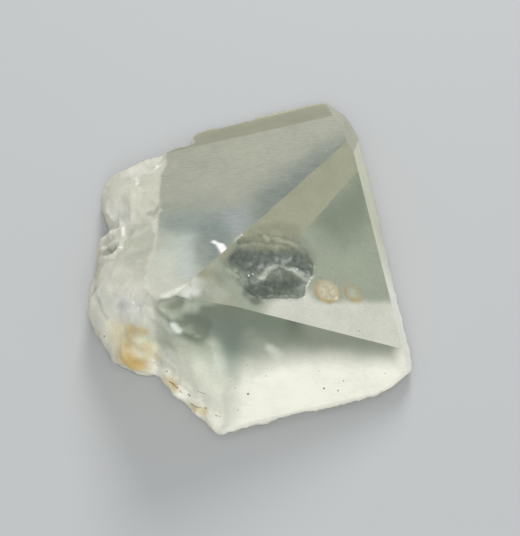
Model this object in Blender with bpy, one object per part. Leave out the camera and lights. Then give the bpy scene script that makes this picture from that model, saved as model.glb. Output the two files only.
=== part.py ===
"""A topaz crystal: the flat-faced end of a prism, cleaved off flat underneath and broken at one side.

One solid, resting on its cleavage face.  +Z is up, +Y runs along the stone's length and the
broken end lies towards -X.  Sizes are in millimetres and become metres when the mesh is made.
"""

import bmesh
import bpy
from math import atan2, cos, degrees, exp, hypot, radians, sin
from mathutils import Vector, noise

MM = 0.001

# Driving dimensions, mm and degrees.
BLOCK_WIDTH = 60.0
BLOCK_HEIGHT = 30.0
GIRDLE_HEIGHT = 0.8
UNDERCUT_LEAN = 42.0

# The grown faces: (bearing they dip towards, slope, distance from the datum point).
# The datum is a point on the resting plane under the middle of the stone.
TOP_FACES = {
    "broad_face": (107.3, 23.1, 8.20),
    "narrow_face": (5.2, 20.8, 8.35),
    "side_face": (0.4, 23.2, 8.42),
    "upper_front_face": (-67.5, 45.5, 13.45),
    "front_face": (-73.6, 52.0, 14.30),
}
EDGE_FACES = {
    "back_strip": (106.4, 33.0, 10.13),
    "side_strip": (9.1, 68.3, 12.07),
    "front_strip": (-74.3, 77.0, 16.96),
    "back_corner": (50.0, 44.2, 14.50),
    "side_corner": (22.0, 58.0, 13.45),
    "front_corner": (-46.3, 64.1, 17.55),
}

# The broken end: a wall round a centre point, given by
# (bearing, radius at the foot, radius at the shoulder, height of the shoulder).
BREAK_CENTRE = (0.0, -1.0)
BREAK_WALL = [
    (0.0, 32.0, 32.0, 10.0),
    (98.0, 26.0, 26.0, 10.0),
    (109.0, 20.0, 20.0, 10.0),
    (113.5, 17.6, 17.5, 3.0),
    (115.5, 16.6, 16.2, 2.5),
    (125.0, 17.2, 16.3, 2.7),
    (132.0, 18.3, 15.2, 3.4),
    (142.0, 19.2, 12.9, 4.9),
    (151.0, 18.5, 11.4, 5.8),
    (161.5, 16.5, 10.3, 6.8),
    (172.0, 16.7, 9.8, 7.7),
    (181.0, 16.6, 9.6, 8.4),
    (192.0, 17.0, 9.8, 9.2),
    (200.0, 17.4, 10.6, 10.0),
    (208.0, 17.5, 11.5, 10.8),
    (217.0, 17.4, 13.0, 11.6),
    (222.0, 16.9, 13.7, 11.3),
    (229.0, 15.3, 14.0, 10.3),
    (236.0, 15.7, 14.0, 9.9),
    (243.0, 16.3, 13.3, 8.9),
    (250.0, 17.3, 13.1, 8.0),
    (256.0, 18.2, 14.6, 5.8),
    (260.0, 18.6, 16.1, 3.9),
    (263.0, 19.2, 18.4, 2.5),
    (267.0, 21.0, 21.0, 10.0),
    (276.0, 26.0, 26.0, 10.0),
    (360.0, 32.0, 32.0, 10.0),
]
LEAN_POWER = 1.8
FOOT_ROUNDING = 0.45
FOOT_HEIGHT = 1.6

# Bumps (+) and dents (-) on the broken wall: (bearing, height, push, spread).
BREAK_LUMPS = {
    "upper_dome": (148.0, 3.2, 0.60, 3.0),
    "lower_dome": (199.0, 5.5, 0.80, 3.6),
    "notch": (163.0, 3.0, -0.75, 1.5),
    "notch_ridge": (168.0, 3.4, 0.60, 0.8),
    "lower_notch": (173.0, 2.8, -0.65, 1.1),
    "lower_ridge": (178.5, 3.4, 0.45, 0.8),
    "shoulder_dent": (158.0, 6.2, -0.55, 1.2),
    "stained_hollow": (214.0, 4.6, -0.60, 2.0),
    "front_dent": (229.0, 6.0, -0.35, 1.6),
}

# A shallow step along the foot of the break at the front: it starts at one height and runs out higher up.
LEDGE_BEARINGS = (232.0, 261.0)
LEDGE_HEIGHT = 2.0
LEDGE_SHARPNESS = 0.5
LEDGE_RUNS_OUT = (3.0, 6.0)
LEDGE_DEPTH = 0.6
LEDGE_END = 5.0

# Unevenness of the break, mm and repeats per mm.
FRACTURE_ROUGHNESS = 0.30
FRACTURE_SCALE = 0.42
FRACTURE_OCTAVES = 4
RIDGE_SHARE = 0.35
RIDGE_SCALE = 0.8
RIDGE_OCTAVES = 3

# The body that cuts the break: how far it reaches below the resting plane, and its mesh.
CORE_HEIGHT = 15.0
CORE_SINK = 1.0
WALL_SEGMENTS = 200
WALL_ROW = 0.55
TINY = 1e-6
MERGE_DISTANCE = 0.02

# The conchoidal hollow where the side faces meet, and the two round marks beside it.
HOLLOW_CENTRE = (1.2, -5.3)
HOLLOW_RADIUS = (4.3, 3.5)
HOLLOW_DEPTH = 0.85
HOLLOW_FLATNESS = 0.6
HOLLOW_TURN = 12.0
HOLLOW_RIM_WAVE = 0.16
HOLLOW_FLOOR_WAVE = 0.16
HOLLOW_CLEARANCE = 1.5
HOLLOW_LEAST_DEPTH = 0.05
MOUND_CENTRE = (1.0, -0.9)
MOUND_RADIUS = 1.9
MOUND_HEIGHT = 0.55
ROUND_MARKS = {
    "large_mark": (6.35, -6.7, 1.3, 0.16),
    "small_mark": (9.0, -6.3, 0.95, 0.12),
}

TOPAZ_COLOUR = (0.60, 0.63, 0.52, 1.0)
TOPAZ_ROUGHNESS = 0.35
TOPAZ_IOR = 1.62
TOPAZ_TRANSMISSION = 0.85


def clear_scene():
    for old in list(bpy.data.objects):
        bpy.data.objects.remove(old, do_unlink=True)


def new_collection(name):
    collection = bpy.data.collections.new(name)
    bpy.context.scene.collection.children.link(collection)
    return collection


def new_object(name, mesh_data, collection):
    """Turn a bmesh in millimetres into an object in metres."""
    bmesh.ops.scale(mesh_data, vec=(MM, MM, MM), verts=mesh_data.verts)
    mesh = bpy.data.meshes.new(name)
    mesh_data.to_mesh(mesh)
    mesh_data.free()
    made = bpy.data.objects.new(name, mesh)
    collection.objects.link(made)
    return made


def face_normal(bearing, slope):
    b, s = radians(bearing), radians(slope)
    return Vector((cos(b) * sin(s), sin(b) * sin(s), cos(s)))


def cut_face(block, bearing, slope, distance):
    """Cut everything beyond a plane off the block and close the cut with one flat face."""
    normal = face_normal(bearing, slope)
    everything = block.verts[:] + block.edges[:] + block.faces[:]
    cut = bmesh.ops.bisect_plane(
        block, geom=everything, dist=TINY, plane_co=normal * distance, plane_no=normal, clear_outer=True)
    rim = [part for part in cut["geom_cut"] if isinstance(part, bmesh.types.BMEdge)]
    if rim:
        bmesh.ops.contextual_create(block, geom=rim)


def undercut_distance(bearing, slope, distance):
    """Distance of the bevel that runs from a strip's lowest line in to the resting face."""
    reach = (distance - GIRDLE_HEIGHT * cos(radians(slope))) / sin(radians(slope))
    lean = radians(90.0 + UNDERCUT_LEAN)
    return reach * sin(lean) + GIRDLE_HEIGHT * cos(lean)


def crystal_block():
    """The whole, unbroken form: a block cut by every grown face and its undercut."""
    block = bmesh.new()
    bmesh.ops.create_cube(block, size=1.0)
    bmesh.ops.scale(block, vec=(BLOCK_WIDTH, BLOCK_WIDTH, BLOCK_HEIGHT), verts=block.verts)
    bmesh.ops.translate(block, vec=(0.0, 0.0, BLOCK_HEIGHT / 2), verts=block.verts)
    for face in TOP_FACES.values():
        cut_face(block, *face)
    for face in EDGE_FACES.values():
        cut_face(block, *face)
        cut_face(block, face[0], 90.0 + UNDERCUT_LEAN, undercut_distance(*face))
    bmesh.ops.recalc_face_normals(block, faces=block.faces)
    return block


def wall_profile(bearing):
    """Foot radius, shoulder radius and shoulder height at a bearing, eased between the given ones."""
    for low, high in zip(BREAK_WALL, BREAK_WALL[1:]):
        if low[0] <= bearing <= high[0]:
            part = (bearing - low[0]) / (high[0] - low[0])
            part = part * part * (3.0 - 2.0 * part)
            return [a + (b - a) * part for a, b in zip(low[1:], high[1:])]


def smooth_step(low, high, value):
    part = min(1.0, max(0.0, (value - low) / (high - low)))
    return part * part * (3.0 - 2.0 * part)


def wall_radius(bearing, height):
    foot, shoulder, rise = wall_profile(bearing)
    climb = min(1.0, max(0.0, height / rise))
    radius = foot - (foot - shoulder) * climb ** LEAN_POWER
    radius -= FOOT_ROUNDING * (1.0 - smooth_step(0.0, FOOT_HEIGHT, height))
    for lump_bearing, lump_height, push, spread in BREAK_LUMPS.values():
        along = radians(bearing - lump_bearing) * radius
        away = hypot(along, height - lump_height) / spread
        radius += push * exp(-away * away)
    step = smooth_step(LEDGE_BEARINGS[0], LEDGE_BEARINGS[0] + LEDGE_END, bearing)
    step *= 1.0 - smooth_step(LEDGE_BEARINGS[1] - LEDGE_END, LEDGE_BEARINGS[1], bearing)
    step *= smooth_step(LEDGE_HEIGHT - LEDGE_SHARPNESS, LEDGE_HEIGHT + LEDGE_SHARPNESS, height)
    step *= 1.0 - smooth_step(*LEDGE_RUNS_OUT, height)
    return radius - LEDGE_DEPTH * step


def fracture_push(place):
    """Uneven, shell-like roughness of a break, mm."""
    broad = noise.fractal(place * FRACTURE_SCALE, 1.0, 2.0, FRACTURE_OCTAVES)
    ridges = noise.ridged_multi_fractal(
        place * FRACTURE_SCALE * RIDGE_SCALE, 1.0, 2.0, RIDGE_OCTAVES, 1.0, 2.0)
    return FRACTURE_ROUGHNESS * (broad + RIDGE_SHARE * (ridges - 1.0))


def broken_core():
    """A tall round body whose wall is the broken surface on the left and clear of the stone elsewhere."""
    core = bmesh.new()
    bmesh.ops.create_cone(
        core, cap_ends=True, segments=WALL_SEGMENTS, radius1=1.0, radius2=1.0, depth=CORE_HEIGHT)
    bmesh.ops.translate(core, vec=(0.0, 0.0, CORE_HEIGHT / 2 - CORE_SINK), verts=core.verts)
    level = WALL_ROW - CORE_SINK
    while level < CORE_HEIGHT - CORE_SINK:
        everything = core.verts[:] + core.edges[:] + core.faces[:]
        bmesh.ops.bisect_plane(core, geom=everything, dist=TINY, plane_co=(0, 0, level), plane_no=(0, 0, 1))
        level += WALL_ROW
    for vert in core.verts:
        bearing = degrees(atan2(vert.co.y, vert.co.x)) % 360.0
        radius = wall_radius(bearing, vert.co.z)
        vert.co.x = BREAK_CENTRE[0] + cos(radians(bearing)) * radius
        vert.co.y = BREAK_CENTRE[1] + sin(radians(bearing)) * radius
    core.normal_update()
    outward = [vert.normal.copy() for vert in core.verts]
    for vert, direction in zip(core.verts, outward):
        vert.co += direction * fracture_push(vert.co)
    bmesh.ops.recalc_face_normals(core, faces=core.faces)
    return core


def surface_height(x, y, face):
    bearing, slope, distance = TOP_FACES[face]
    normal = face_normal(bearing, slope)
    return (distance - normal.x * x - normal.y * y) / normal.z


def hollow_cutter():
    """A flat, lumpy lens that scoops the shell-like hollow and leaves a mound in its floor."""
    lens = bmesh.new()
    bmesh.ops.create_icosphere(lens, subdivisions=4, radius=1.0)
    for vert in lens.verts:
        side = vert.co.copy()
        side.x *= HOLLOW_RADIUS[0]
        side.y *= HOLLOW_RADIUS[1]
        rim = 1.0 + HOLLOW_RIM_WAVE * noise.noise(Vector((vert.co.x, vert.co.y, 0.4)) * 1.9)
        vert.co = Vector((side.x * rim, side.y * rim, side.z))
        if side.z < 0.0:
            floor = -HOLLOW_DEPTH * (-side.z) ** HOLLOW_FLATNESS
            away = hypot(side.x - MOUND_CENTRE[0], side.y - MOUND_CENTRE[1]) / MOUND_RADIUS
            floor += MOUND_HEIGHT * exp(-away * away)
            floor += HOLLOW_FLOOR_WAVE * noise.fractal(Vector((side.x, side.y, 3.0)) * 0.8, 1.0, 2.0, 3)
            vert.co.z = min(floor, -HOLLOW_LEAST_DEPTH)
        else:
            vert.co.z = side.z * HOLLOW_CLEARANCE
    turn_and_seat(lens, HOLLOW_CENTRE, HOLLOW_TURN, "side_face")
    return lens


def turn_and_seat(cutter, centre, turn, face):
    """Lay a cutter's own X-Y plane on a grown face, at a place seen from above."""
    normal = face_normal(*TOP_FACES[face][:2])
    lie = Vector((0.0, 0.0, 1.0)).rotation_difference(normal).to_matrix()
    spin = Vector((1.0, 0.0, 0.0)).rotation_difference(
        Vector((cos(radians(turn)), sin(radians(turn)), 0.0))).to_matrix()
    bmesh.ops.rotate(cutter, cent=(0, 0, 0), matrix=lie @ spin, verts=cutter.verts)
    seat = Vector((centre[0], centre[1], surface_height(centre[0], centre[1], face)))
    bmesh.ops.translate(cutter, vec=seat, verts=cutter.verts)


def round_mark_cutter(x, y, radius, depth):
    dish = bmesh.new()
    bmesh.ops.create_uvsphere(dish, u_segments=20, v_segments=10, radius=1.0)
    bmesh.ops.scale(dish, vec=(radius, radius * 1.2, depth), verts=dish.verts)
    turn_and_seat(dish, (x, y), 0.0, "side_face")
    return dish


def as_cutter(body):
    body.hide_render = True
    body.display_type = "WIRE"
    return body


def apply_boolean(target, cutter, operation):
    """Cut or join for good, leaving a mesh of triangles for the next cut."""
    modifier = target.modifiers.new(cutter.name, "BOOLEAN")
    modifier.operation = operation
    modifier.solver = "EXACT"
    modifier.object = cutter
    evaluated = target.evaluated_get(bpy.context.evaluated_depsgraph_get())
    solid = bmesh.new()
    solid.from_mesh(evaluated.to_mesh())
    evaluated.to_mesh_clear()
    target.modifiers.remove(modifier)
    bmesh.ops.triangulate(solid, faces=solid.faces)
    bmesh.ops.remove_doubles(solid, verts=solid.verts, dist=MERGE_DISTANCE * MM)
    bmesh.ops.dissolve_degenerate(solid, edges=solid.edges, dist=MERGE_DISTANCE * MM)
    bmesh.ops.triangulate(solid, faces=solid.faces)
    solid.to_mesh(target.data)
    solid.free()


def centre_on_base(body):
    """Put the origin at the middle of the stone's box, on the resting face."""
    corners = [Vector(corner) for corner in body.bound_box]
    middle = sum(corners, Vector()) / len(corners)
    middle.z = min(corner.z for corner in corners)
    for vert in body.data.vertices:
        vert.co -= middle


def topaz_material():
    material = bpy.data.materials.new("topaz")
    material.use_nodes = True
    shader = material.node_tree.nodes["Principled BSDF"]
    shader.inputs["Base Color"].default_value = TOPAZ_COLOUR
    shader.inputs["Roughness"].default_value = TOPAZ_ROUGHNESS
    shader.inputs["Metallic"].default_value = 0.0
    shader.inputs["IOR"].default_value = TOPAZ_IOR
    shader.inputs["Transmission Weight"].default_value = TOPAZ_TRANSMISSION
    return material


def build():
    clear_scene()
    crystal_parts = new_collection("topaz_crystal")
    cutters = new_collection("cutters")
    crystal = new_object("topaz_crystal", crystal_block(), crystal_parts)
    core = as_cutter(new_object("broken_core", broken_core(), cutters))
    apply_boolean(crystal, core, "INTERSECT")
    hollow = as_cutter(new_object("hollow_lens", hollow_cutter(), cutters))
    apply_boolean(crystal, hollow, "DIFFERENCE")
    for name, mark in ROUND_MARKS.items():
        dish = as_cutter(new_object(name, round_mark_cutter(*mark), cutters))
        apply_boolean(crystal, dish, "DIFFERENCE")
    centre_on_base(crystal)
    crystal.data.materials.append(topaz_material())


build()
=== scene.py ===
import math

import bpy
import numpy as np
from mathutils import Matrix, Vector, noise
from mathutils.bvhtree import BVHTree


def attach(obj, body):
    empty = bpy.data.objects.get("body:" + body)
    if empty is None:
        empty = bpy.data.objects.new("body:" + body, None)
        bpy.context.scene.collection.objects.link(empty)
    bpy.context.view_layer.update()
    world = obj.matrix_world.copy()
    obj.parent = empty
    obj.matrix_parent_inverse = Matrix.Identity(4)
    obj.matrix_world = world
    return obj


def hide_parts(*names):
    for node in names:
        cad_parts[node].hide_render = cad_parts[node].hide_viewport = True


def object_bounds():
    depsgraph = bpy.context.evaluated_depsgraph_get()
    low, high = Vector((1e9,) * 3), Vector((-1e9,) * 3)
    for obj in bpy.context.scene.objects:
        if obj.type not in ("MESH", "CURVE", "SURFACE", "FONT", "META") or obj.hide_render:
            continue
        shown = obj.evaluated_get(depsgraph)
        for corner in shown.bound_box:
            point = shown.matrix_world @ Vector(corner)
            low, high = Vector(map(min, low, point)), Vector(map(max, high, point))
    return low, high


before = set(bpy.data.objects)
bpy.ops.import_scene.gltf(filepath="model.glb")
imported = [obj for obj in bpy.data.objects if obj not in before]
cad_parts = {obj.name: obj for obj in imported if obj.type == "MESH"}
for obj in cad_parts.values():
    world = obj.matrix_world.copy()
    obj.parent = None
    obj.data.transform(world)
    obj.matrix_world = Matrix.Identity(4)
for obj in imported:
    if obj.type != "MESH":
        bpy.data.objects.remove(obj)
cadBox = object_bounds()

mm = 0.001
print("frame loaded:", sorted(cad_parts))


def onlySelect(thing):
    bpy.ops.object.select_all(action="DESELECT")
    thing.select_set(True)
    bpy.context.view_layer.objects.active = thing


# Opens the active mesh for editing, with all or nothing selected
def editAll(selected):
    bpy.ops.object.mode_set(mode="EDIT")
    bpy.ops.mesh.select_all(action="SELECT" if selected else "DESELECT")


def applyAll(thing):
    onlySelect(thing)
    for modifier in list(thing.modifiers):
        bpy.ops.object.modifier_apply(modifier=modifier.name)


# Camera: straight in front of the stone, looking well down on it
camera = {
    "azimuth": 0.0,
    "elevation": 58.0,
    "distance": 180.0,
    "target": (0.98, -0.63, 0.0),
    "lens": 120.9,
    "sensorWidth": 36.0,
    "nearLimit": 0.01,
}


def makeCamera(values):
    turn, lift = math.radians(values["azimuth"]), math.radians(values["elevation"])
    away = Vector((-math.sin(turn) * math.cos(lift), -math.cos(turn) * math.cos(lift),
                   math.sin(lift)))
    target = Vector(values["target"]) * mm
    bpy.ops.object.camera_add(location=target + away * values["distance"] * mm)
    made = bpy.context.object
    made.name = "stoneCamera"
    made.rotation_euler = (-away).to_track_quat("-Z", "Y").to_euler()
    made.data.lens = values["lens"]
    made.data.sensor_width = values["sensorWidth"]
    made.data.clip_start = values["nearLimit"]
    bpy.context.scene.camera = made


# Floor and light: a soft lamp behind the stone shines through it, a broad one in front fills
studio = {
    "floorSize": 4.0,
    "floorDrop": 0.03,
    "floorColour": (0.46, 0.47, 0.47, 1.0),
    "floorRoughness": 0.6,
    "skyColour": (0.96, 0.98, 1.0, 1.0),
    "skyStrength": 0.58,
}
lamps = {
    "keyLamp": {"bearing": 84.0, "lift": 32.0, "distance": 0.9, "size": 0.34, "watts": 4.5},
    "fillLamp": {"bearing": -88.0, "lift": 46.0, "distance": 1.0, "size": 0.8, "watts": 4.6},
}


def makeLamp(name, bearing, lift, distance, size, watts):
    turn, up = math.radians(bearing), math.radians(lift)
    place = Vector((math.cos(turn) * math.cos(up), math.sin(turn) * math.cos(up), math.sin(up)))
    place *= distance
    bpy.ops.object.light_add(type="AREA", location=place)
    lamp = bpy.context.object
    lamp.name = name
    lamp.data.shape = "DISK"
    lamp.data.size = size
    lamp.data.energy = watts
    lamp.rotation_euler = (-place).to_track_quat("-Z", "Y").to_euler()


def makeStudio(values):
    bpy.ops.mesh.primitive_plane_add(size=values["floorSize"],
                                     location=(0.0, 0.0, -values["floorDrop"] * mm))
    floor = bpy.context.object
    floor.name = "floor"
    paint = bpy.data.materials.new("floorPaint")
    paint.use_nodes = True
    shader = paint.node_tree.nodes["Principled BSDF"]
    shader.inputs["Base Color"].default_value = values["floorColour"]
    shader.inputs["Roughness"].default_value = values["floorRoughness"]
    floor.data.materials.append(paint)
    world = bpy.data.worlds.new("softSky")
    bpy.context.scene.world = world
    world.use_nodes = True
    sky = world.node_tree.nodes["Background"]
    sky.inputs["Color"].default_value = values["skyColour"]
    sky.inputs["Strength"].default_value = values["skyStrength"]
    bpy.context.scene.view_settings.view_transform = "Standard"
    for name, settings in lamps.items():
        makeLamp(name, **settings)


makeCamera(camera)
makeStudio(studio)
print("camera, floor and lamps made")


# The stone's fine surface, sizes in mm
stone = {
    "node": "topaz_crystal",
    "gridDepth": 8,
    "gridFill": 0.821,
    "brokenSmoothing": 5,
    "hollowSmoothing": 10,
    "calmSmoothing": 30,
    "cornerSmoothing": 60,
    "mergeAngle": 0.6,          # faces this near in direction (degrees) are one patch
    "planFaceArea": 1.0,        # a patch at least this big (mm2) can set the plane of a grown face
    "planeAngle": 1.2,          # and then looks this near (degrees) to the listed direction
    "planeReach": 0.05,         # faces this near such a plane belong to it
    "flattenRounds": 6,
    "restingFacing": -0.9,      # faces that look down more than this rest on the floor
    "hollowArea": (2.2, -5.9, 5.6, 5.0),  # middle, reach and lowest height
    "sideArea": (5.0, 2.0),     # the side face lies beyond this X and above this height
    "markMargin": 0.8,          # skin round a growth mark that isn't laid flat
    "maskSoftening": 3,
    "fullWear": 0.4,            # share of a worn place's reach that is worn fully
    "fullCalm": 0.5,            # the same for calm and splintery places
    "hollowGain": 2.0,
    "wearHeight": (0.0, 0.3),
    "crispWear": 0.2,           # edges that are worn more than this don't stay crisp
    "footHeight": (0.15, 0.7),  # the fracture fades out towards the resting face
    "calmHeight": (3.0, 7.5),   # the fracture is smoother higher up
    "calmShare": 0.35,
    "wallArea": (-5.0, -3.4),   # the far wall of the hollow, in Y, is calmer
    "wallCalm": 0.65,
}

# Corners worn round: middle, reach
wornCorners = {
    "back": ((9.6, 17.9, 0.9), 3.4),
    "backRight": ((11.1, 13.0, 1.8), 2.6),
    "front": ((15.5, -12.9, 1.0), 2.6),
    "frontLow": ((13.9, -14.9, 0.6), 2.4),
    "backLeft": ((-6.9, 13.6, 1.6), 1.6),
}
# Edges worn to soft shoulders: path, reach
wornEdges = {
    "shoulder": ([(-7.3, -12.0, 11.6), (-6.8, -13.1, 10.2), (-5.5, -13.6, 9.1), (-4.1, -14.0, 8.0),
        (-2.8, -14.6, 7.3), (-2.5, -15.6, 6.0)], 1.5),
    "milkyEdge": ([(-9.2, -2.6, 8.0), (-9.5, -4.9, 9.1), (-10.0, -7.6, 10.0), (-9.3, -9.9, 11.3),
        (-8.5, -11.4, 12.0)], 1.9),
}
# Smooth part of the break below the apex: path, reach, share of the fracture that is left
calmPart = ([(-8.0, -12.6, 6.5), (-5.5, -14.2, 6.0), (-3.6, -15.8, 4.6)], 3.2, 0.15)

# Shell-like scoops on the broken end: size, depth, where the pattern starts
scoops = [
    (4.2, 0.36, (11.0, 4.0, 7.0)),
    (1.9, 0.08, (3.0, 9.0, 1.0)),
]
ripples = {"spacing": 0.8, "depth": 0.012}
# Rough skin: grains per mm, depth
roughness = {
    "broken": (0.6, 0.1),
    "hollow": (1.0, 0.28),
}
# Ridged noise: smoothness, step from wave to wave, waves, offset, gain
ridges = (0.9, 2.1, 4, 1.0, 2.0)
# Splintery patch of small bright facets: middle, reach, grains per mm, depth, level
splinters = ((-13.6, 1.6, 3.4), 2.6, 1.7, 0.24, 0.3)

# Single features: middle, radius, height; below zero is a dent
features = {
    "upperDomeFacet": ((-11.6, 9.2, 3.2), 1.9, -0.22),
    "upperDomeCrown": ((-13.2, 6.6, 3.4), 2.6, 0.2),
    "notchDent": ((-14.3, 2.3, 2.6), 1.2, -0.45),
    "shellDent": ((-13.6, -1.2, 4.2), 1.1, -0.5),
    "innerDent": ((-12.0, -0.4, 5.8), 1.2, -0.25),
    "lowerDomeCrown": ((-13.0, -6.6, 6.2), 3.0, 0.3),
    "frontShell": ((-11.0, -12.4, 4.4), 1.4, -0.2),
    "hollowPocket": ((0.6, -9.0, 9.0), 1.2, -0.2),
    "hollowTop": ((2.2, -4.2, 8.2), 1.6, -0.2),
    "hollowMound": ((3.0, -6.8, 7.8), 1.8, 0.3),
}

# Sharp ridges: path, radius, height
crests = {
    "shellRimTop": ([(-14.9, 0.3, 1.9), (-13.7, -0.4, 4.1), (-12.5, -1.0, 5.3), (-12.4, -2.2, 5.7)],
        0.45, 0.34),
    "shellRimLow": ([(-12.4, -2.2, 5.7), (-13.1, -2.5, 5.2), (-14.1, -1.9, 3.8),
        (-14.9, -1.5, 2.6)], 0.45, 0.34),
    "notchRimOuter": ([(-14.4, 5.0, 1.8), (-13.9, 4.0, 2.0), (-13.7, 1.1, 3.6)], 0.4, 0.26),
    "notchRimInner": ([(-13.0, 2.9, 3.0), (-12.5, 1.2, 4.5), (-12.5, -0.1, 5.1)], 0.4, 0.26),
    "hollowRidge": ([(1.3, -7.3, 8.5), (1.7, -6.5, 8.3), (2.6, -5.6, 7.9), (3.9, -5.8, 7.4),
        (5.0, -6.1, 6.9)], 0.45, 0.26),
    "hollowStep": ([(-1.1, -4.2, 9.5), (0.8, -3.2, 8.5), (3.4, -3.0, 7.6)], 0.4, 0.14),
    "hollowChunk": ([(-1.9, -7.3, 10.3), (-1.3, -7.5, 10.0), (-0.9, -7.9, 9.4)], 0.45, 0.24),
}

# Healed round growth marks: middle, radius, rim height, how pale the middle is
growthMarks = {
    "large": ((7.35, -7.2), 1.15, 0.1, 1.0),
    "small": ((9.85, -6.75), 0.88, 0.06, 0.45),
}
# Their rings: share of the radius, width, share of the height
markRings = [(1.0, 0.2, 1.0), (0.4, 0.18, 0.6)]
# How the rings wander: grains per mm, where the noise starts, how far
markWobble = (1.5, 4.0, 0.35)

# Shares too small to count, and how near (mm) points are welded
faintRelief = 0.02
faintSmoothing = 0.01
weldDistance = 0.002


def copyOfSolid(nodeName, newName):
    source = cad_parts[nodeName]
    piece = source.copy()
    piece.data = source.data.copy()
    piece.name = newName
    piece.data.name = newName
    bpy.context.collection.objects.link(piece)
    piece.data.materials.clear()
    onlySelect(piece)
    editAll(True)
    bpy.ops.mesh.remove_doubles(threshold=weldDistance * mm)
    bpy.ops.mesh.normals_make_consistent(inside=False)
    bpy.ops.object.mode_set(mode="OBJECT")
    return piece


def smoothStep(value, low, high):
    climb = np.clip((value - low) / (high - low), 0.0, 1.0)
    return climb * climb * (3.0 - 2.0 * climb)


# One value, or a few, of each item of a mesh list
def readItems(items, name, size=1, kind=float):
    flat = np.empty(len(items) * size, dtype=kind)
    items.foreach_get(name, flat)
    return flat.reshape(-1, size) if size > 1 else flat


def pointsOf(piece):
    return readItems(piece.data.vertices, "co", 3) / mm


def movePoints(piece, points):
    low, high = np.array(cadBox[0]) / mm, np.array(cadBox[1]) / mm
    piece.data.vertices.foreach_set("co", (np.clip(points, low, high) * mm).ravel())
    piece.data.update()


# Softens a field over the surface, each round taking in the neighbouring points
def soften(piece, field, rounds):
    ends = readItems(piece.data.edges, "vertices", 2, np.int64)
    count = np.maximum(np.bincount(ends.ravel(), minlength=len(field)), 1)
    for _ in range(rounds):
        total = np.bincount(ends[:, 0], field[ends[:, 1]], len(field))
        total += np.bincount(ends[:, 1], field[ends[:, 0]], len(field))
        field = 0.5 * field + 0.5 * total / count
    return field


# The grown faces by the direction they look in: bearing and slope in degrees
grownFaces = {
    "broad": [(107.3, 23.1)],
    "narrow": [(5.2, 20.8)],
    "side": [(0.4, 23.2)],
    "front": [(-67.5, 45.5), (-73.6, 52.0)],
    "backStrip": [(106.4, 33.0)],
    "backCorner": [(50.0, 44.2), (22.0, 58.0)],
    "sideStrip": [(9.1, 68.3)],
    "frontStrip": [(-74.3, 77.0), (-46.3, 64.1)],
}


def facingOf(bearing, slope):
    turn, tilt = math.radians(bearing), math.radians(slope)
    across = math.sin(tilt)
    return np.array([math.cos(turn) * across, math.sin(turn) * across, math.cos(tilt)])


# The corners of all faces: the point and the face each belongs to
def cornersOf(piece):
    cornerPoint = readItems(piece.data.loops, "vertex_index", 1, np.int64)
    total = readItems(piece.data.polygons, "loop_total", 1, np.int64)
    return cornerPoint, np.repeat(np.arange(len(total)), total)


def onPoints(piece, faceFlags):
    cornerPoint, cornerFace = cornersOf(piece)
    flags = np.zeros(len(piece.data.vertices), dtype=bool)
    flags[cornerPoint[faceFlags[cornerFace]]] = True
    return flags


# Sorts the faces by the surface they lie on, and lays the grown ones exactly flat
def findSurfaces(piece, values):
    plan = copyOfSolid(values["node"], "planOfFaces")
    editAll(True)
    bpy.ops.mesh.dissolve_limited(angle_limit=math.radians(values["mergeAngle"]))
    bpy.ops.object.mode_set(mode="OBJECT")
    planFacing = readItems(plan.data.polygons, "normal", 3)
    planMiddle = readItems(plan.data.polygons, "center", 3) / mm
    planArea = readItems(plan.data.polygons, "area") / mm ** 2
    bpy.data.objects.remove(plan, do_unlink=True)

    names, normals, reaches = [], [], []
    closeEnough = math.cos(math.radians(values["planeAngle"]))
    for name, ways in grownFaces.items():
        for way in ways:
            alike = np.where(planArea > values["planFaceArea"], planFacing @ facingOf(*way), 0.0)
            if alike.max() > closeEnough:
                chosen = np.argmax(np.where(alike > closeEnough, planArea, 0.0))
                names.append(name)
                normals.append(planFacing[chosen])
                reaches.append(planFacing[chosen] @ planMiddle[chosen])
    normals, reaches = np.array(normals), np.array(reaches)
    middle = readItems(piece.data.polygons, "center", 3) / mm
    above = middle @ normals.T - reaches
    onPlane = np.abs(above.max(axis=1)) < values["planeReach"]
    planeOf = np.where(onPlane, above.argmax(axis=1), -1)
    kind = np.where(planeOf < 0, "broken", np.array(names, dtype=object)[planeOf])
    x, y, z = middle.T
    hollowX, hollowY, hollowReach, hollowFloor = values["hollowArea"]
    nearHollow = (np.hypot(x - hollowX, y - hollowY) < hollowReach) & (z > hollowFloor)
    kind[(kind == "broken") & nearHollow] = "hollow"
    facing = readItems(piece.data.polygons, "normal", 3)
    resting = (facing[:, 2] < values["restingFacing"]) & (z < values["planeReach"])
    kind[resting], planeOf[resting] = "underside", -1
    for (markX, markY), radius, _, _ in growthMarks.values():
        here = np.hypot(x - markX, y - markY) < radius + values["markMargin"]
        here &= z > values["sideArea"][1]
        kind[here], planeOf[here] = "side", -1

    points = pointsOf(piece)
    for _ in range(values["flattenRounds"]):
        for index, (normal, reach) in enumerate(zip(normals, reaches)):
            touching = onPoints(piece, planeOf == index)
            points[touching] -= (points[touching] @ normal - reach)[:, None] * normal
    movePoints(piece, points)
    fields = {}
    for name in ("broken", "hollow", "underside"):
        flags = onPoints(piece, kind == name).astype(float)
        fields[name] = soften(piece, flags, values["maskSoftening"])
    return kind, planeOf, fields


def distanceToPath(points, path):
    best = np.full(len(points), 1e9)
    for start, end in zip(path[:-1], path[1:]):
        a, run = np.array(start), np.array(end) - np.array(start)
        along = np.clip((points - a) @ run / max(run @ run, 1e-9), 0.0, 1.0)
        best = np.minimum(best, np.linalg.norm(points - a - along[:, None] * run, axis=1))
    return best


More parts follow.
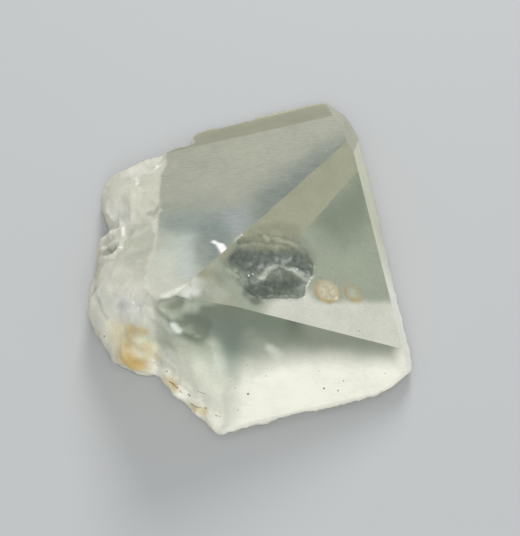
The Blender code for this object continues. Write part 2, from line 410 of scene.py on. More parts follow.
# Distance to an outline seen from above, positive inside
def distanceInside(points, outline):
    x, y = points[:, 0], points[:, 1]
    inside = np.zeros(len(points), dtype=bool)
    for (x1, y1), (x2, y2) in zip(outline, outline[1:] + outline[:1]):
        crosses = (y1 > y) != (y2 > y)
        inside ^= crosses & (x < (x2 - x1) * (y - y1) / (y2 - y1 or 1e-9) + x1)
    far = distanceToPath(points[:, :2], outline + outline[:1])
    return np.where(inside, far, -far)


# Rounded scoops that meet in sharp lines, and how far each point is from its scoop's middle
def scoopPattern(points, size, start):
    depth = np.zeros(len(points))
    middle = np.zeros(len(points))
    for index, point in enumerate((points + np.array(start)) / size):
        reach = noise.voronoi(Vector(point))[0]
        depth[index] = 1.0 - (reach[0] / max(reach[1], 1e-6)) ** 2
        middle[index] = reach[0] * size
    return depth, middle


def carveStone(piece, fields, share, values):
    points, normals = pointsOf(piece), readItems(piece.data.vertices, "normal", 3)
    broken, hollow = fields["broken"] * share, fields["hollow"]
    height = points[:, 2]
    sideStart, sideFloor = values["sideArea"]
    onSide = (points[:, 0] > sideStart) & (height > sideFloor)
    awayFromFoot = smoothStep(height, *values["footHeight"])
    calm = 1.0 - (1.0 - values["calmShare"]) * smoothStep(height, *values["calmHeight"])
    wallCalm = 1.0 - values["wallCalm"] * smoothStep(points[:, 1], *values["wallArea"])

    # scoops with fine ripples round their middles
    push = np.zeros(len(points))
    where = np.flatnonzero(broken > faintRelief)
    for size, depth, start in scoops:
        scooped, middle = scoopPattern(points[where], size, start)
        push[where] -= depth * (scooped - 0.5)
        push[where] += ripples["depth"] * np.sin(middle * math.tau / ripples["spacing"]) * scooped
    push *= broken * calm

    # rough skin of the break and of the hollow, and the splinters
    for name, field in (("broken", broken * calm), ("hollow", hollow * wallCalm)):
        scale, depth = roughness[name]
        for index in np.flatnonzero(field > faintRelief):
            rough = noise.ridged_multi_fractal(Vector(points[index]) * scale, *ridges)
            push[index] += depth * (rough - 1.0) * 0.5 * field[index]
    middle, reach, scale, depth, level = splinters
    far = np.linalg.norm(points - np.array(middle), axis=1)
    splintered = broken * (1.0 - smoothStep(far, values["fullCalm"] * reach, reach))
    for index in np.flatnonzero(splintered > faintRelief):
        cell = noise.voronoi(Vector(points[index]) * scale)[0]
        push[index] += depth * (cell[1] - cell[0] - level) * splintered[index]

    # single bumps, dents and ridges
    for name, (middle, radius, rise) in features.items():
        far = np.linalg.norm(points - np.array(middle), axis=1) / radius
        mask = hollow if name.startswith("hollow") else broken
        push += rise * np.clip(1.0 - far ** 2, 0.0, 1.0) ** 2 * mask
    for name, (path, radius, rise) in crests.items():
        far = distanceToPath(points, path) / radius
        mask = hollow if name.startswith("hollow") else broken
        push += rise * np.clip(1.0 - far, 0.0, 1.0) ** 1.5 * mask

    # growth marks
    scale, start, amount = markWobble
    wobble = np.array([noise.noise(Vector((px * scale, py * scale, start)))
                       for px, py in points[:, :2]])
    for (x, y), radius, rise, _ in growthMarks.values():
        far = np.hypot(points[:, 0] - x, points[:, 1] - y) + amount * wobble
        for part, width, rate in markRings:
            push += rate * rise * np.exp(-((far - part * radius) / width) ** 2) * onSide
    movePoints(piece, points + normals * (push * awayFromFoot)[:, None])


def smoothPart(piece, share, rounds):
    group = piece.vertex_groups.new(name="share")
    for index in np.flatnonzero(share > faintSmoothing):
        group.add([int(index)], float(share[index]), "REPLACE")
    smooth = piece.modifiers.new("worn", "SMOOTH")
    smooth.factor = 0.5
    smooth.iterations = rounds
    smooth.vertex_group = group.name
    applyAll(piece)
    piece.vertex_groups.clear()


# Keeps the edges between grown faces crisp, except where they are worn
def keepCrisp(piece, planeOf, wear, crispWear):
    cornerPoint, cornerFace = cornersOf(piece)
    cornerEdge = readItems(piece.data.loops, "edge_index", 1, np.int64)
    count = len(piece.data.edges)
    low, high = np.full(count, planeOf.max() + 1), np.full(count, -1)
    np.minimum.at(low, cornerEdge, planeOf[cornerFace])
    np.maximum.at(high, cornerEdge, planeOf[cornerFace])
    worn = wear[readItems(piece.data.edges, "vertices", 2, np.int64)].max(axis=1) > crispWear
    piece.data.edges.foreach_set("select", (low >= 0) & (high > low) & ~worn)
    onlySelect(piece)
    bpy.ops.object.mode_set(mode="EDIT")
    bpy.ops.mesh.mark_sharp()
    bpy.ops.object.mode_set(mode="OBJECT")


def makeStone(values):
    piece = copyOfSolid(values["node"], "topazStone")
    remesh = piece.modifiers.new("fine", "REMESH")
    remesh.mode = "SHARP"
    remesh.octree_depth = values["gridDepth"]
    remesh.scale = values["gridFill"]
    remesh.use_remove_disconnected = False
    applyAll(piece)
    kind, planeOf, fields = findSurfaces(piece, values)
    points = pointsOf(piece)
    wear = np.zeros(len(points))
    worn = [(np.linalg.norm(points - np.array(middle), axis=1), reach)
            for middle, reach in wornCorners.values()]
    worn += [(distanceToPath(points, path), reach) for path, reach in wornEdges.values()]
    for far, reach in worn:
        wear = np.maximum(wear, 1.0 - smoothStep(far, values["fullWear"] * reach, reach))
    wear *= smoothStep(points[:, 2], *values["wearHeight"])
    path, reach, share = calmPart
    far = distanceToPath(points, path)
    calmHere = 1.0 - smoothStep(far, values["fullCalm"] * reach, reach)
    hollowWide = values["hollowGain"] * soften(piece, fields["hollow"], values["maskSoftening"])
    smoothPart(piece, fields["broken"], values["brokenSmoothing"])
    smoothPart(piece, fields["broken"] * calmHere, values["calmSmoothing"])
    smoothPart(piece, np.clip(hollowWide, 0.0, 1.0), values["hollowSmoothing"])
    smoothPart(piece, wear, values["cornerSmoothing"])
    carveStone(piece, fields, 1.0 - (1.0 - share) * calmHere, values)
    onlySelect(piece)
    bpy.ops.object.shade_smooth()
    editAll(False)
    bpy.ops.mesh.select_mode(type="EDGE")
    bpy.ops.object.mode_set(mode="OBJECT")
    keepCrisp(piece, planeOf, wear, values["crispWear"])
    return piece, kind, fields


topazStone, stoneKind, stoneFields = makeStone(stone)
print("stone remeshed:", len(topazStone.data.polygons), "faces")


def tone(red, green, blue):
    return tuple((part / 255.0) ** 2.2 for part in (red, green, blue)) + (1.0,)


# Colour and clearness of each kind of surface
surfaces = {
    "broad": ((221, 222, 196), 0.6),
    "narrow": ((216, 217, 182), 0.6),
    "side": ((220, 230, 202), 0.62),
    # The front faces are near white and hardly see-through: milky stone, and partly a painted glow
    # of the lamp behind shining through the stone
    "front": ((255, 254, 236), 0.1),
    "backStrip": ((196, 195, 158), 0.62),
    "backCorner": ((222, 221, 190), 0.56),
    "sideStrip": ((244, 244, 212), 0.36),
    # The front strip likewise: milky, and partly a painted glow of the lamp behind
    "frontStrip": ((255, 254, 238), 0.12),
    "broken": ((240, 238, 218), 0.34),
    # Painted shade: the hollow of the chip is coloured dark for its shade and the dark ground seen
    # through it
    "hollow": ((128, 136, 120), 0.36),
}

# Soft areas: surface, outline seen from above, soft edge, colour, clearness and strength; later
# ones lie over earlier ones
patches = {
    "clearBand": ("broad", [(10.6, 12.4), (10.9, 10.2), (4.9, 3.4), (1.2, -1.4), (0.0, -2.1),
        (-1.6, -0.4), (2.0, 5.2), (6.5, 9.7)], 5.0, (166, 184, 170), 0.72, 1.0),
    "clearCore": ("broad", [(9.8, 11.0), (10.2, 9.8), (4.9, 3.4), (1.2, -1.2), (0.0, -1.5),
        (3.6, 4.0)], 2.2, (166, 186, 174), 0.76, 0.5),
    "blueHaze": ("broad", [(-9.4, 2.6), (-4.9, 2.8), (-1.4, 1.8), (0.4, -1.0), (-1.4, -4.1),
        (-3.2, -6.7), (-4.1, -6.7), (-4.7, -3.3), (-8.5, -1.7)], 4.6, (178, 194, 184), 0.6, 1.0),
    "veil": ("broad", [(-9.5, 6.0), (-1.5, 5.4), (0.5, 1.5), (-4.0, 0.4), (-9.0, 0.4)], 3.5,
        (184, 188, 166), 0.44, 0.65),
    "violetVeil": ("broad", [(-2.4, 1.1), (-0.2, 1.5), (0.5, -1.1), (-0.9, -3.0), (-2.1, -2.4)],
        1.6, (208, 214, 214), 0.58, 0.6),
    # Milky patch low on the broad face, partly a painted glow of light inside the stone
    "milkyGlowHeart": ("broad", [(-8.1, -1.9), (-5.4, -2.3), (-4.6, -6.6), (-4.9, -9.1), (-8.2, -10.0),
        (-9.6, -6.2)], 3.0, (206, 215, 200), 0.34, 0.95),
    "frostedEnd": ("broad", [(-15.0, 13.0), (-8.9, 12.0), (-8.4, 9.7), (-9.0, 7.7), (-8.9, 3.5),
        (-8.8, -0.5), (-8.9, -4.4), (-9.2, -7.7), (-9.6, -12.0), (-15.0, -12.0)], 0.3,
        (236, 234, 214), 0.36, 0.85),
    "frostedLow": ("broad", [(-15.0, -4.0), (-7.5, -5.5), (-6.5, -8.5), (-5.5, -10.5),
        (-9.0, -13.0), (-15.0, -13.0)], 2.6, (226, 227, 208), 0.36, 0.85),
    "sideDeep": ("side", [(12.0, 9.0), (12.0, 2.0), (9.0, -1.5), (6.5, -0.5), (5.5, 1.0)], 4.0,
        (178, 192, 164), 0.7, 0.75),
    "sideMilk": ("side", [(1.7, -9.9), (3.8, -8.1), (5.3, -7.5), (6.1, -8.6), (9.6, -7.75),
        (15.3, -6.6), (15.3, -13.1), (0.8, -12.2)], 1.3, (252, 252, 236), 0.4, 0.92),
    "frontHaze": ("broken", [(-9.4, -12.4), (-7.1, -12.4), (-4.9, -13.0), (-3.0, -13.6),
        (-1.6, -15.4), (-3.6, -15.6), (-5.6, -14.9), (-8.4, -13.8)], 1.6, (188, 192, 172), 0.16,
        0.9),
    # Painted shade: the wedge patches below the front ridge paint the dark ground seen through the
    # stone, darkest near the ridge, lighter at the right end and below
    "wedgeLeft": ("broken", [(-8.6, -11.8), (-7.0, -10.2), (-3.0, -12.0), (-2.2, -14.6),
        (-3.6, -14.9), (-5.4, -14.2), (-7.2, -13.4)], 1.4, (136, 144, 124), 0.2, 0.9),
    "wedge": ("front", [(-8.0, -12.9), (-7.0, -10.2), (15.5, -9.5), (13.6, -12.5), (7.6, -13.2),
        (2.7, -14.1), (0.8, -14.8), (-1.3, -15.2), (-2.8, -15.5), (-3.9, -14.3), (-4.9, -13.6),
        (-6.4, -13.4)], 2.5, (138, 148, 128), 0.36, 0.97),
    "wedgeDark": ("front", [(-7.0, -12.8), (-6.4, -10.2), (5.6, -10.0), (4.4, -12.0), (1.2, -12.9),
        (-1.6, -13.6), (-4.0, -13.7)], 1.8, (104, 114, 96), 0.7, 0.95),
    "wedgeDown": ("front", [(-4.2, -12.6), (-0.2, -12.0), (-0.7, -14.0), (-1.4, -16.0),
        (-2.6, -16.1), (-3.5, -14.2)], 1.6, (116, 128, 115), 0.55, 0.92),
    "wedgeRight": ("front", [(4.8, -10.0), (15.0, -10.0), (13.4, -12.0), (7.6, -12.35),
        (6.0, -12.6)], 1.8, (184, 192, 170), 0.6, 0.8),
    "frontLeft": ("front", [(-4.0, -15.2), (-0.9, -15.6), (-2.2, -20.0), (-5.0, -20.0)], 2.4,
        (214, 216, 198), 0.24, 0.9),
    "stripLow": ("sideStrip", [(20.0, -2.0), (5.0, -2.0), (5.0, -20.0), (20.0, -20.0)], 9.0,
        (255, 254, 240), 0.14, 1.0),
    # Painted shade in the hollow: its top, core, low part and mound darker, its left part less so
    "hollowTop": ("hollow", [(-0.9, -3.5), (1.2, -2.2), (4.8, -1.0), (5.9, -2.3), (4.8, -3.3),
        (1.7, -3.7), (-0.5, -4.5)], 0.9, (154, 156, 130), 0.4, 0.9),
    "hollowCore": ("hollow", [(-2.2, -6.0), (-0.9, -4.4), (1.7, -3.8), (5.4, -3.3), (6.0, -4.9),
        (5.6, -5.9), (3.8, -5.5), (2.5, -5.1), (1.2, -6.4), (0.0, -6.8), (-1.3, -6.4)], 0.8,
        (104, 114, 104), 0.42, 0.9),
    "hollowLow": ("hollow", [(-0.8, -9.2), (0.5, -7.4), (3.3, -7.2), (4.8, -6.4), (5.2, -7.0),
        (3.3, -8.3), (1.2, -9.9), (0.1, -10.0)], 0.7, (92, 104, 92), 0.42, 0.9),
    "hollowMound": ("hollow", [(1.2, -6.8), (2.5, -5.5), (3.8, -5.8), (4.8, -6.1), (4.6, -6.7),
        (1.9, -7.6)], 0.8, (112, 120, 104), 0.36, 0.6),
    "hollowLeft": ("hollow", [(-3.0, -6.3), (-1.3, -6.4), (-0.2, -7.5), (-0.5, -8.7), (-1.2, -9.2),
        (-2.2, -8.5)], 0.9, (168, 180, 158), 0.44, 0.85),
}

# Soft strokes: surface (None for all), path, radius, soft edge, colour, clearness, strength
strokes = {
    "deepVein": ("broad", [(-3.9, -2.5, 9.2), (-3.9, -5.4, 10.4)], 0.5, 2.4,
        (152, 172, 164), 0.7, 0.45),
    "milkStreak": ("broad", [(-5.7, -2.6, 8.9), (-5.9, -8.4, 11.4)], 0.1, 1.1,
        (224, 236, 230), 0.45, 0.5),
    # Painted highlights: bright flashes of light on the broad face
    "flashOne": ("broad", [(-3.5, -3.6, 9.7), (-2.8, -4.3, 10.0)], 0.1, 0.25,
        (255, 252, 250), 0.1, 0.9),
    "flashOneLow": ("broad", [(-2.8, -4.3, 10.0), (-2.4, -5.2, 10.4)], 0.22, 0.3,
        (255, 250, 248), 0.1, 1.0),
    "flashStreak": ("broad", [(-7.8, -11.2, 12.0), (-6.7, -10.6, 12.0), (-5.5, -10.0, 11.7)], 0.08,
        0.6, (252, 254, 240), 0.2, 0.8),
    # Painted shade running on from the hollow's low end
    "hollowTail": (None, [(0.0, -9.4, 9.6), (0.6, -10.0, 9.35)], 0.3, 0.6,
        (104, 114, 100), 0.5, 0.8),
    "hollowShine": ("hollow", [(3.4, -5.6, 7.7), (4.0, -5.7, 7.4), (4.9, -5.7, 6.9)], 0.12, 0.45,
        (232, 238, 228), 0.36, 0.7),
    # Painted shade along the hollow's brim
    "hollowBrow": ("narrow", [(0.2, -2.6, 8.8), (2.6, -1.1, 8.0), (4.4, -1.2, 7.6)], 0.2, 0.8,
        (150, 154, 124), 0.5, 0.45),
    "hollowSide": (None, [(3.6, -2.2, 7.6), (5.2, -2.4, 7.3), (6.1, -4.0, 6.8)], 0.2, 0.7,
        (120, 128, 108), 0.5, 0.35),
    # Painted highlight
    "flashTwo": (None, [(-5.7, -10.9, 11.7), (-4.9, -10.5, 11.4)], 0.1, 0.8,
        (240, 244, 240), 0.24, 0.75),
    "darkSpot": ("broad", [(-8.0, 2.8, 6.4), (-6.8, 2.5, 6.6), (-6.0, 2.1, 6.9)], 0.03, 0.5,
        (160, 172, 152), 0.6, 0.22),
    "narrowDeep": ("narrow", [(-0.6, -5.2, 9.2), (-2.0, -7.6, 10.2)], 0.4, 1.6,
        (140, 156, 132), 0.7, 0.8),
    "apexGlow": ("narrow", [(-6.3, -10.5, 12.0), (-5.0, -9.4, 11.5)], 0.3, 1.0,
        (242, 246, 234), 0.3, 0.8),
    "narrowLow": ("narrow", [(-1.2, -9.3, 10.2), (0.2, -10.6, 9.8)], 0.6, 1.6,
        (212, 222, 198), 0.58, 0.7),
    "narrowFoot": ("narrow", [(-4.1, -9.6, 10.9), (-3.1, -10.2, 10.6)], 0.4, 1.2,
        (226, 232, 214), 0.5, 0.7),
    "hollowEdge": ("narrow", [(-3.2, -6.8, 10.4), (-1.8, -8.4, 10.2)], 0.2, 1.1,
        (214, 222, 200), 0.5, 0.6),
    "wedgeBand": (None, [(-5.8, -11.6, 11.2), (-3.6, -11.0, 10.8)], 0.05, 0.7,
        (196, 204, 182), 0.5, 0.7),
    "paleHeart": ("front", [(0.1, -13.0, 7.6), (1.2, -13.5, 7.0)], 0.1, 1.0,
        (190, 198, 176), 0.5, 0.3),
    "paleStreak": ("front", [(1.9, -13.6, 6.6), (2.8, -14.1, 6.0)], 0.1, 0.7,
        (240, 244, 230), 0.4, 0.7),
    "edgeShade": (None, [(-3.1, -15.6, 5.9), (-3.1, -16.5, 4.9), (-3.2, -17.5, 3.8),
        (-3.4, -18.5, 2.6)], 0.1, 0.8, (204, 208, 188), 0.3, 0.55),
    "bentStreak": (None, [(-2.7, -14.9, 6.9), (-2.4, -15.5, 6.2)], 0.03, 0.8,
        (206, 216, 206), 0.4, 0.45),
    "shoulderShade": (None, [(-6.6, -12.6, 10.9), (-5.8, -13.0, 10.1), (-4.9, -13.2, 9.5)], 0.8,
        1.1, (98, 108, 90), 0.14, 0.9),
    "creaseGlow": (None, [(-8.0, -12.5, 11.0), (-7.2, -12.5, 11.0), (-6.6, -12.2, 11.2)], 0.25,
        0.95, (170, 176, 156), 0.3, 0.75),
    # Painted highlights: bright flashes beside the apex
    "flashSide": (None, [(-7.8, -12.8, 9.8), (-7.2, -13.1, 9.4)], 0.15, 0.7,
        (216, 222, 204), 0.2, 0.6),
    "flashThree": (None, [(-6.9, -13.2, 10.0), (-6.5, -13.4, 9.6)], 0.1, 0.5,
        (240, 246, 238), 0.14, 0.95),
    # Painted shadow under the bright flash streak
    "olivePatch": (None, [(-8.0, -11.9, 12.0), (-7.0, -11.8, 11.8), (-6.5, -11.7, 11.7)], 0.25,
        0.55, (122, 128, 106), 0.36, 0.75),
    # Painted highlight, fainter
    "flashFoot": (None, [(-5.7, -11.9, 11.1), (-5.0, -11.8, 10.8)], 0.1, 0.7,
        (196, 202, 184), 0.3, 0.6),
    "ridgeGlow": ("broken", [(-12.6, -8.4, 7.0), (-10.6, -9.8, 9.8), (-9.2, -10.6, 11.0)], 0.1, 1.0,
        (250, 248, 232), 0.3, 0.45),
    "ridgeShade": ("broken", [(-12.4, -9.2, 6.8), (-10.6, -10.5, 9.3), (-9.2, -11.2, 10.8)], 0.05,
        0.5, (196, 198, 182), 0.4, 0.5),
    # Painted glow on the upper dome of the break
    "domeWhite": ("broken", [(-11.5, 9.3, 2.9), (-10.9, 7.8, 4.0), (-10.3, 6.4, 4.6)], 0.3, 1.2,
        (242, 242, 230), 0.28, 0.6),
    # Painted highlights along the crests of the shell and notch rims
    "loopRim": ("broken", [(-14.5, 0.3, 2.3), (-13.5, -0.3, 4.1), (-12.5, -1.3, 5.3),
        (-12.4, -2.2, 5.7)], 0.04, 0.35, (255, 255, 248), 0.12, 0.7),
    "loopRimLow": ("broken", [(-12.4, -2.2, 5.7), (-13.1, -2.5, 5.2), (-14.1, -1.9, 3.8)], 0.04,
        0.35, (255, 252, 236), 0.12, 0.7),
    "notchRimLine": ("broken", crests["notchRimOuter"][0], 0.04, 0.4, (255, 255, 244), 0.12, 0.6),
    "innerRimLine": ("broken", crests["notchRimInner"][0], 0.04, 0.4, (255, 255, 244), 0.14, 0.5),
    "notchShade": ("broken", [(-14.1, -1.2, 3.9), (-13.1, -1.5, 4.8)], 0.3, 0.6,
        (180, 186, 170), 0.55, 0.8),
    "domeLow": ("broken", [(-13.6, -6.5, 5.2), (-13.2, -9.5, 4.6)], 1.0, 2.2,
        (255, 254, 240), 0.24, 0.5),
    "domeNotch": ("broken", [(-13.4, 4.0, 2.8), (-12.6, 2.6, 4.0)], 0.6, 1.4,
        (255, 255, 246), 0.25, 0.5),
    "middleShade": ("broken", [(-10.9, -0.8, 6.7), (-10.6, -2.5, 7.4), (-10.5, -3.8, 7.8)], 1.0,
        2.2, (204, 208, 184), 0.42, 0.55),
    # Painted glow low on the break
    "glowLow": ("broken", [(-11.3, -8.4, 8.6), (-10.6, -9.2, 9.6), (-9.6, -10.2, 10.9)], 0.6, 1.7,
        (255, 254, 236), 0.18, 0.65),
    # Painted light on the downward-facing ledge low on the break
    "ledgeLight": ("broken", [(-9.5, -13.3, 1.6), (-6.5, -15.6, 1.6), (-3.0, -18.4, 1.8)], 0.9, 1.6,
        (255, 253, 236), 0.16, 0.9),
    "ledgeHigh": ("broken", [(-6.8, -15.2, 4.0), (-3.6, -17.2, 3.6)], 0.7, 1.6,
        (244, 243, 224), 0.24, 0.8),
    "shoulderDots": (None, [(-9.8, 2.1, 5.9), (-9.2, 1.6, 6.4), (-9.0, 2.5, 6.3)], 0.1, 0.5,
        (176, 182, 164), 0.5, 0.5),
    # Painted glints: a cloud of bright sparkles
    "glintCloud": ("broken", [(-12.0, -9.6, 7.2), (-10.9, -10.8, 8.6), (-10.1, -11.2, 9.2)], 0.4,
        1.6, (255, 255, 248), 0.28, 0.6),
    "endShade": ("broken", [(-9.5, -12.0, 8.6), (-9.7, -12.5, 5.7), (-9.8, -12.9, 3.9)], 0.3, 1.1,
        (208, 210, 190), 0.3, 0.6),
    # Painted light lifting the shade of the fracture's ridges here
    "hazeLight": ("broken", [(-8.8, -13.2, 4.6), (-7.4, -13.9, 5.6)], 0.4, 1.3,
        (238, 240, 224), 0.16, 0.6),
    "stainWide": ("broken", [(-12.2, -11.3, 4.2), (-11.4, -12.0, 4.2), (-10.0, -12.6, 4.4)], 0.8,
        1.9, (255, 238, 186), 0.22, 0.7),
    "stainHeart": ("broken", [(-11.8, -12.5, 2.6), (-11.3, -12.8, 2.4), (-10.5, -12.9, 2.2)], 0.35,
        1.4, (224, 186, 104), 0.32, 0.95),
    "stainArc": ("broken", [(-11.7, -11.8, 4.2), (-11.5, -11.6, 5.2), (-10.8, -11.8, 6.6),
        (-9.9, -12.2, 7.1)], 0.1, 0.8, (222, 192, 118), 0.36, 0.8),
    "stainRight": ("broken", [(-10.0, -12.7, 4.8), (-9.4, -12.6, 5.0)], 0.1, 0.9,
        (234, 208, 154), 0.4, 0.4),
    "stainLeft": ("broken", [(-15.2, -0.2, 1.6), (-15.1, -1.5, 1.8), (-15.1, -3.1, 2.0)], 0.1, 1.2,
        (234, 206, 158), 0.35, 0.55),
    "contour": ("broken", [(-14.9, -5.0, 3.3), (-14.3, -7.6, 5.0), (-13.5, -9.2, 4.8)], 0.04, 0.3,
        (190, 192, 174), 0.5, 0.4),
    "rustHalo": ("broken", [(-8.0, -14.2, 1.7), (-7.0, -15.2, 1.8)], 0.05, 0.8,
        (228, 198, 124), 0.35, 0.75),
    "rustHaloLow": ("broken", [(-5.5, -16.8, 1.2), (-4.1, -17.8, 2.1)], 0.05, 0.75,
        (234, 208, 142), 0.35, 0.65),
    # Painted light along the step, ridge and chunk in the hollow
    "hollowLine": ("hollow", [(-1.1, -4.2, 9.5), (0.0, -3.7, 8.8), (0.8, -3.2, 8.5),
        (3.4, -3.0, 7.6)], 0.03, 0.4, (172, 178, 152), 0.36, 0.6),
    "hollowArc": ("hollow", [(1.2, -7.2, 8.5), (1.6, -6.4, 8.3), (2.5, -5.55, 7.9),
        (3.2, -5.5, 7.7), (3.9, -5.8, 7.4), (5.0, -6.1, 6.9)], 0.05, 0.42, (206, 212, 190), 0.36,
        0.85),
    "hollowChunk": (None, crests["hollowChunk"][0], 0.1, 0.4, (206, 216, 186), 0.42, 0.7),
}

# How the soft areas are laid on; noise is listed as grains per mm and share of each wave
painting = {
    "seed": 77,
    "drift": [(0.3, 1.0), (0.9, 0.3)],
    "driftOfPatches": (0.3, 1.4),   # share of the soft edge, widest soft edge that counts
    "driftOnFront": (0.1, 1.4),
    "driftOfStrokes": (0.5, 1.0),
    "patchy": [(1.1, 1.0), (2.6, 0.5)],
    "patchyFrom": 0.55,             # strokes with a wider soft edge than this are patchy
    "patchyShare": 0.7,
    "patchyLeast": 0.3,
    "spreadRounds": 50,             # how far the broken end spreads past a worn edge
    "spreadReach": (0.7, 1.6),
}


# Mixes the surfaces, patches and strokes into a colour and a clearness for each face corner
def paintStone(piece, kind, fields, values):
    points = pointsOf(piece)
    skin = BVHTree.FromObject(piece, bpy.context.evaluated_depsgraph_get())
    cornerPoint, cornerFace = cornersOf(piece)
    noise.seed_set(values["seed"])
    drift, patchy = np.zeros((len(points), 3)), np.zeros(len(points))
    for scale, share in values["drift"]:
        drift += share * np.array([noise.noise_vector(Vector(p) * scale)[:] for p in points])
    for scale, share in values["patchy"]:
        patchy += share * np.array([noise.noise(Vector(p) * scale) for p in points])
    patchy = np.clip(1.0 + values["patchyShare"] * patchy, values["patchyLeast"], 1.0)
    masks = {name: (kind == name)[cornerFace].astype(float) for name in grownFaces}
    masks.update({name: fields[name][cornerPoint] for name in ("broken", "hollow")})
    wide = soften(piece, fields["broken"], values["spreadRounds"])
    near, far = values["spreadReach"]
    for path, reach in wornEdges.values():
        beside = 1.0 - smoothStep(distanceToPath(points, path), near * reach, far * reach)
        masks["broken"] += (wide[cornerPoint] - masks["broken"]) * beside[cornerPoint]
    masks[None] = np.ones(len(cornerPoint))
    baseColour, baseClear = surfaces["backCorner"]
    colour = np.tile(tone(*baseColour)[:3], (len(cornerPoint), 1))
    clear = np.full(len(cornerPoint), baseClear)

    for onGrown in (True, False):
        layers = []
        for name, (newColour, newClear) in surfaces.items():
            if (name in grownFaces) == onGrown:
                layers.append((masks[name], newColour, newClear))
        for surface, outline, soft, newColour, newClear, strength in patches.values():
            if (surface in grownFaces) == onGrown:
                loose, widest = values["driftOnFront" if surface == "front" else "driftOfPatches"]
                reach = distanceInside(points + drift * min(soft, widest) * loose, outline)
                factor = smoothStep(reach, -soft / 2, soft / 2) * strength
                layers.append((factor[cornerPoint] * masks[surface], newColour, newClear))
        loose, widest = values["driftOfStrokes"]
        for surface, path, radius, soft, newColour, newClear, strength in strokes.values():
            if (surface in grownFaces) == onGrown:
                path = [skin.find_nearest(Vector(point) * mm)[0] / mm for point in path]
                reach = distanceToPath(points + drift * min(soft, widest) * loose, path)
                factor = 1.0 - smoothStep(reach, radius, radius + soft)
                if soft > values["patchyFrom"]:
                    factor *= patchy
                factor = factor[cornerPoint] * strength * masks[surface]
                layers.append((factor, newColour, newClear))
        for factor, newColour, newClear in layers:
            colour += (np.array(tone(*newColour)[:3]) - colour) * factor[:, None]
            clear += (newClear - clear) * factor

    opaque = np.column_stack([colour, np.ones(len(colour))])
    layer = piece.data.attributes.new("tint", "FLOAT_COLOR", "CORNER")
    layer.data.foreach_set("color", opaque.astype(np.float32).ravel())
    layer = piece.data.attributes.new("clearness", "FLOAT", "CORNER")
    layer.data.foreach_set("value", clear.astype(np.float32))
    flags = {name: onPoints(piece, kind == name) for name in ("broad", "side", "front")}
    for name, field in {**fields, **flags}.items():
        layer = piece.data.attributes.new(name, "FLOAT", "POINT")
        layer.data.foreach_set("value", field.astype(np.float32))


paintStone(topazStone, stoneKind, stoneFields, painting)
print("soft areas laid on the stone")


# Small helpers for shader trees
def feed(tree, socket, value):
    if isinstance(value, bpy.types.NodeSocket):
        tree.links.new(value, socket)
    else:
        socket.default_value = value


def calc(tree, operation, a, b):
    node = tree.nodes.new("ShaderNodeMath")
    node.operation = operation
    for socket, value in zip(node.inputs, (a, b)):
        feed(tree, socket, value)
    return node.outputs[0]


def times(tree, a, b):
    return calc(tree, "MULTIPLY", a, b)


def fade(tree, value, low, high, toLow=0.0, toHigh=1.0):
    node = tree.nodes.new("ShaderNodeMapRange")
    node.interpolation_type = "SMOOTHSTEP"
    for name, setting in (("Value", value), ("From Min", low), ("From Max", high),
                          ("To Min", toLow), ("To Max", toHigh)):
        feed(tree, node.inputs[name], setting)
    return node.outputs[0]


def blendColour(tree, factor, a, b, mode="MIX"):
    node = tree.nodes.new("ShaderNodeMix")
    node.data_type = "RGBA"
    node.blend_type = mode
    for index, value in ((0, factor), (6, a), (7, b)):
        feed(tree, node.inputs[index], value)
    return node.outputs[2]


def blendValue(tree, factor, a, b):
    node = tree.nodes.new("ShaderNodeMix")
    for index, value in ((0, factor), (2, a), (3, b)):
        feed(tree, node.inputs[index], value)
    return node.outputs[0]


def vectorCalc(tree, operation, a, b, output="Vector"):
    node = tree.nodes.new("ShaderNodeVectorMath")
    node.operation = operation
    feed(tree, node.inputs[0], a)
    feed(tree, node.inputs[1], b)
    return node.outputs[output]


def grain(tree, place, scale, detail, roughness, stretch=None, turn=0.0):
    if stretch:
        mapping = tree.nodes.new("ShaderNodeMapping")
        mapping.inputs["Rotation"].default_value = (0.0, 0.0, math.radians(turn))
        mapping.inputs["Scale"].default_value = stretch
        feed(tree, mapping.inputs["Vector"], place)
        place = mapping.outputs[0]
    node = tree.nodes.new("ShaderNodeTexNoise")
    feed(tree, node.inputs["Vector"], place)
    node.inputs["Scale"].default_value = scale
    node.inputs["Detail"].default_value = detail
    node.inputs["Roughness"].default_value = roughness
    return node.outputs["Fac"]


def attributeOf(tree, name, output="Fac"):
    node = tree.nodes.new("ShaderNodeAttribute")
    node.attribute_name = name
    return node.outputs[output]


# How far each point lies from a short straight line
def distanceToLine(tree, place, start, end):
    run = Vector(end) - Vector(start)
    away = vectorCalc(tree, "SUBTRACT", place, tuple(start))
    along = vectorCalc(tree, "DOT_PRODUCT", away, tuple(run / run.length_squared), "Value")
    clamp = tree.nodes.new("ShaderNodeClamp")
    feed(tree, clamp.inputs[0], along)
    scaled = tree.nodes.new("ShaderNodeVectorMath")
    scaled.operation = "SCALE"
    scaled.inputs[0].default_value = run
    feed(tree, scaled.inputs["Scale"], clamp.outputs[0])
    return vectorCalc(tree, "DISTANCE", away, scaled.outputs[0], "Value")


